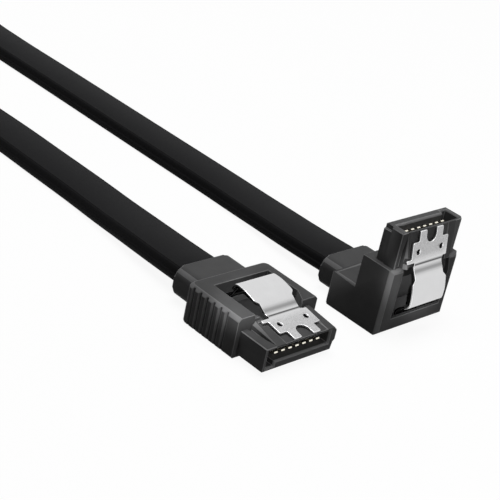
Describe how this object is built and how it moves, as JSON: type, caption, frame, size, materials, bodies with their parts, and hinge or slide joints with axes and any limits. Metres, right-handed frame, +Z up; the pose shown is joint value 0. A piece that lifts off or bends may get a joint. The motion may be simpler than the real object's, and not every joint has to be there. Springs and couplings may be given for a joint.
{
  "type": "sata data cable",
  "caption": "Flat black computer drive data cable with a straight plug and a right-angle plug, each with sprung contacts and a metal latch.",
  "frame": {"origin": "midway between the two plugs on the surface that they stand on, the cable left out", "axes": "+X is the way the straight plug is pushed in, +Y runs from the straight plug to the angled one, +Z is up and is the way the angled plug is pushed in"},
  "size_m": [0.217, 0.0573, 0.0154],
  "materials": {
    "housing": "fine matte moulded",
    "overmould": "soft matte moulded",
    "latch": "satin pressed strip",
    "contact": "gold plated",
    "jacket": "smooth matte extruded"
  },
  "bodies": {
    "plugs_and_cable": {"straight_housing": "housing", "straight_overmold": "overmould", "straight_contact_1": "contact", "straight_contact_2": "contact", "straight_contact_3": "contact", "straight_contact_4": "contact", "straight_contact_5": "contact", "straight_contact_6": "contact", "straight_contact_7": "contact", "angled_housing": "housing", "angled_overmold": "overmould", "angled_contact_1": "contact", "angled_contact_2": "contact", "angled_contact_3": "contact", "angled_contact_4": "contact", "angled_contact_5": "contact", "angled_contact_6": "contact", "angled_contact_7": "contact", "ribbon_cable": "jacket"},
    "straight_latch": {"straight_latch": "latch"},
    "angled_latch": {"angled_latch": "latch"}
  },
  "joints": [
    {"name": "straight_latch_press", "type": "hinge", "parent": "plugs_and_cable", "child": "straight_latch", "pos_m": [0.00876, -0.0104, 0.00426], "axis": [0, -1, 0], "range_deg": [0, 4], "stiffness_Nm_per_rad": 0.01, "springref_deg": -2.01},
    {"name": "angled_latch_press", "type": "hinge", "parent": "plugs_and_cable", "child": "angled_latch", "pos_m": [0.00857, 0.0104, 0.0154], "axis": [0, 1, 0], "range_deg": [0, 4], "stiffness_Nm_per_rad": 0.01, "springref_deg": -2.01}
  ]
}
